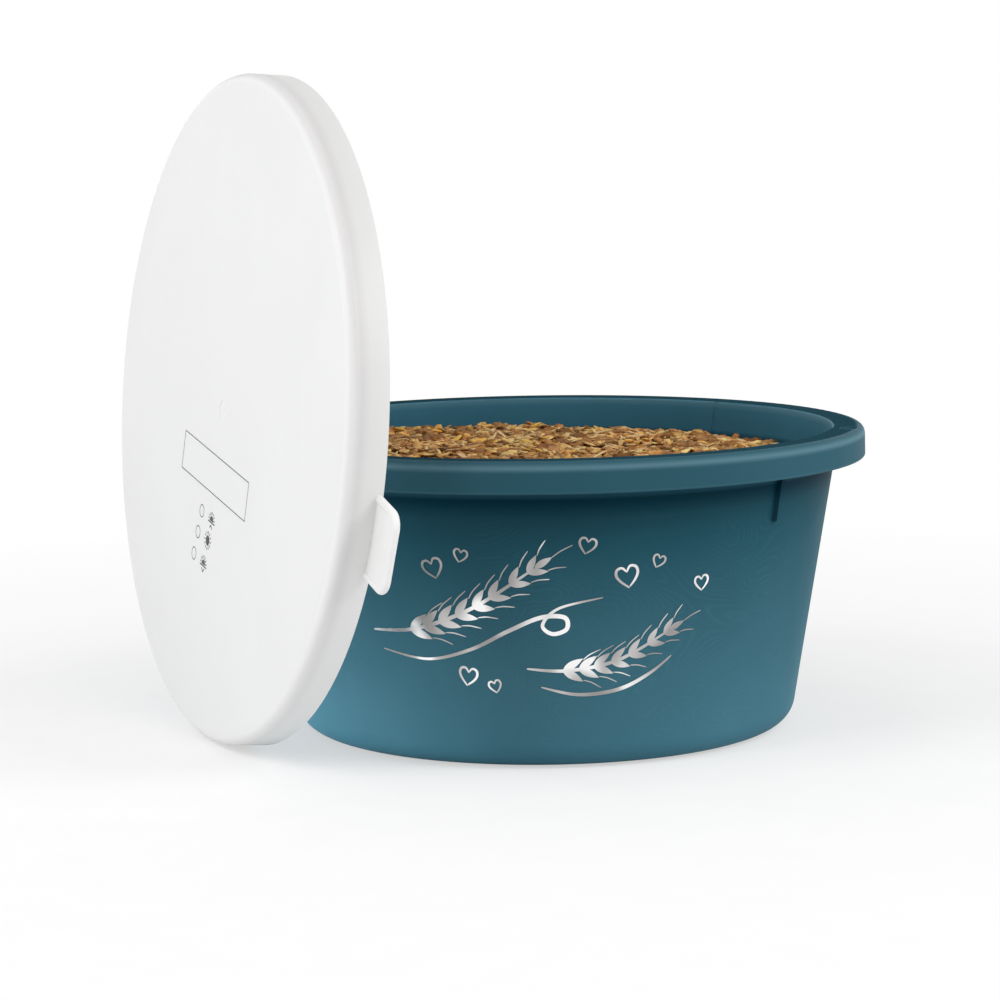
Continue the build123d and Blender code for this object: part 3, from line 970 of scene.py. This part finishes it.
def feed():
    """The heap, then seven kinds of bits, each with its count, shape, slant, lift and tints."""
    heap()
    bran = grain_skin("bran_flake", (0.225, 0.099, 0.027), (0.860, 0.440, 0.138))
    crumb = grain_skin(
        "pressed_crumb", (0.140, 0.061, 0.019), (0.600, 0.330, 0.124),
        rough=(0.7, 0.9), shine=0.15, stripe=1100.0,
    )
    oat = grain_skin("oat_flake", (0.600, 0.330, 0.100), (1.000, 0.790, 0.370))
    corn = grain_skin(
        "corn_flake", (0.700, 0.370, 0.040), (0.930, 0.590, 0.110),
        rough=(0.4, 0.6), shine=0.4, stripe=250.0,
    )
    husk = grain_skin(
        "husk", (0.560, 0.340, 0.130), (0.930, 0.700, 0.370),
        rough=(0.45, 0.65), shine=0.35, stripe=600.0,
    )
    seed = grain_skin(
        "dark_seed", (0.080, 0.036, 0.014), (0.240, 0.120, 0.048),
        rough=(0.4, 0.6), shine=0.4, stripe=500.0,
    )
    bran_flakes = flakes(
        length=(0.0040, 0.0096), width=(0.0030, 0.0066), thick=(0.0006, 0.0014),
        curl=(-0.0004, 0.0008), fold=(-0.0004, 0.0008), ragged=0.28, sides=8,
    )
    oat_flakes = flakes(
        length=(0.0044, 0.0100), width=(0.0030, 0.0062), thick=(0.0005, 0.0011),
        curl=(-0.0003, 0.0009), fold=(0.0000, 0.0009), ragged=0.22, sides=8,
    )
    corn_flakes = flakes(
        length=(0.0048, 0.0090), width=(0.0034, 0.0060), thick=(0.0006, 0.0011),
        curl=(-0.0006, 0.0014), fold=(-0.0005, 0.0011), ragged=0.20,
    )
    lumps = flakes(
        length=(0.0080, 0.0140), width=(0.0050, 0.0085), thick=(0.0014, 0.0026),
        curl=(0.0, 0.0005), fold=(0.0, 0.0005), ragged=0.24, sides=14,
    )
    husks = flakes(
        length=(0.0050, 0.0110), width=(0.0014, 0.0028), thick=(0.0003, 0.0007),
        curl=(-0.0005, 0.0010), fold=(0.0002, 0.0009), ragged=0.10, sides=7,
    )
    stalks = sticks(length=(0.0060, 0.0120), thick=(0.0007, 0.0013), bend=(-0.0012, 0.0012))
    seeds = sticks(length=(0.0030, 0.0050), thick=(0.0016, 0.0024), bend=(-0.0003, 0.0003))
    scatter("feed_bran", bran, 3000, bran_flakes, 0.18, (0.0000, 0.0026), WARM_TINTS, upright=0.010)
    scatter("feed_oat", oat, 1350, oat_flakes, 0.18, (0.0008, 0.0029), PALE_TINTS, upright=0.010)
    scatter("feed_corn", corn, 130, corn_flakes, 0.22, (0.0018, 0.0034), PALE_TINTS)
    scatter("feed_lump", crumb, 170, lumps, 0.16, (0.0010, 0.0022), WARM_TINTS)
    scatter("feed_husk", husk, 260, husks, 0.20, (0.0018, 0.0034), PALE_TINTS)
    scatter("feed_stalk", husk, 90, stalks, 0.14, (0.0026, 0.0040), WARM_TINTS)
    scatter("feed_seed", seed, 70, seeds, 0.20, (0.0018, 0.0034), PALE_TINTS)


feed()


# Floor, world and lamps: places and sizes in metres, powers in watts
FLOOR_HALF = 30.0
FLOOR_DROP = 0.0004
WORLD_STRENGTH = 0.55
SHOWN_STRENGTH = 1.0
LAMP_AIM = (BOWL.x - 0.03, BOWL.y, 0.09)
HIGH_LAMPS = [
    ("left", (-1.20, -0.95, 1.30), (0.9, 0.9), 14),
    ("right", (1.27, -0.66, 1.13), (0.8, 0.8), 13),
]
LOW_LAMP_HEIGHT = 0.065
LOW_LAMP_SIZE = (0.7, 0.12)
LOW_LAMPS = [
    ("left", (-1.42, 0.22, LOW_LAMP_HEIGHT), 31),
    ("right", (1.58, -0.22, LOW_LAMP_HEIGHT), 5),
]


def lay_floor():
    """A pale floor that keeps the object's shadow and is seen as plain white further away."""
    nodes = Nodes(bpy.data.materials.new("pale_floor"))
    diffuse = nodes.add("BsdfDiffuse")
    speckle = nodes.noise(nodes.coords(), scale=40.0, detail=3.0)
    pale = nodes.ramp(speckle, [(0.3, (0.90, 0.90, 0.90)), (0.7, (0.93, 0.93, 0.93))])
    nodes.link(pale, diffuse.inputs["Color"])
    near = nodes.add("TexGradient", gradient_type="SPHERICAL")
    nodes.link(nodes.coords((1.4, 1.4, 1.4)), near.inputs["Vector"])
    share = nodes.level(near.outputs["Fac"], 1.0, 0.55, start=0.02, end=0.75)
    share = nodes.math("MULTIPLY", share, nodes.seen())
    nodes.blend_to_output(share, diffuse.outputs["BSDF"], nodes.white("Emission", SHOWN_STRENGTH))
    corners = [(x * FLOOR_HALF, y * FLOOR_HALF, 0) for x, y in ((-1, -1), (1, -1), (1, 1), (-1, 1))]
    floor = new_piece("floor", corners, [(0, 1, 2, 3)], nodes.owner, smooth=False)
    floor.location.z = -FLOOR_DROP


def make_world():
    """Even white light on the object, and plain white wherever the world itself is seen."""
    world = bpy.data.worlds.new("studio")
    bpy.context.scene.world = world
    nodes = Nodes(world, "OutputWorld")
    light = nodes.white("Background", WORLD_STRENGTH)
    nodes.blend_to_output(nodes.seen(), light, nodes.white("Background", SHOWN_STRENGTH))


def lamp(name, place, target, size, power):
    data = bpy.data.lights.new(name, "AREA")
    data.shape = "RECTANGLE"
    data.size, data.size_y = size
    data.energy = power
    light = bpy.data.objects.new(name, data)
    light.location = place
    way = Vector(target) - Vector(place)
    light.rotation_euler = way.to_track_quat("-Z", "Y").to_euler()
    bpy.context.scene.collection.objects.link(light)
    return light


def only_for(light, name, members):
    """Keeps a lamp to some objects: only they are lit by it, and only they shade it."""
    group = bpy.data.collections.new(name)
    for member in members:
        group.objects.link(member)
    light.light_linking.receiver_collection = group
    light.light_linking.blocker_collection = group


def make_lamps():
    """Two high lamps for everything, and two low ones for the bowl, its print and the feed alone."""
    for side, place, size, power in HIGH_LAMPS:
        lamp(side, place, LAMP_AIM, size, power)
    meshes = [item for item in bpy.data.objects if item.type == "MESH"]
    bowl_pieces = [item for item in meshes if item.name.startswith(("bowl", "feed"))]
    low_aim = (BOWL.x, BOWL.y, LOW_LAMP_HEIGHT)
    for side, place, power in LOW_LAMPS:
        low_lamp = lamp("beside_bowl_" + side, place, low_aim, LOW_LAMP_SIZE, power)
        only_for(low_lamp, "bowl_lit_from_" + side, bowl_pieces)


lay_floor()
make_world()
make_lamps()

view = bpy.context.scene.view_settings
view.view_transform = "Standard"

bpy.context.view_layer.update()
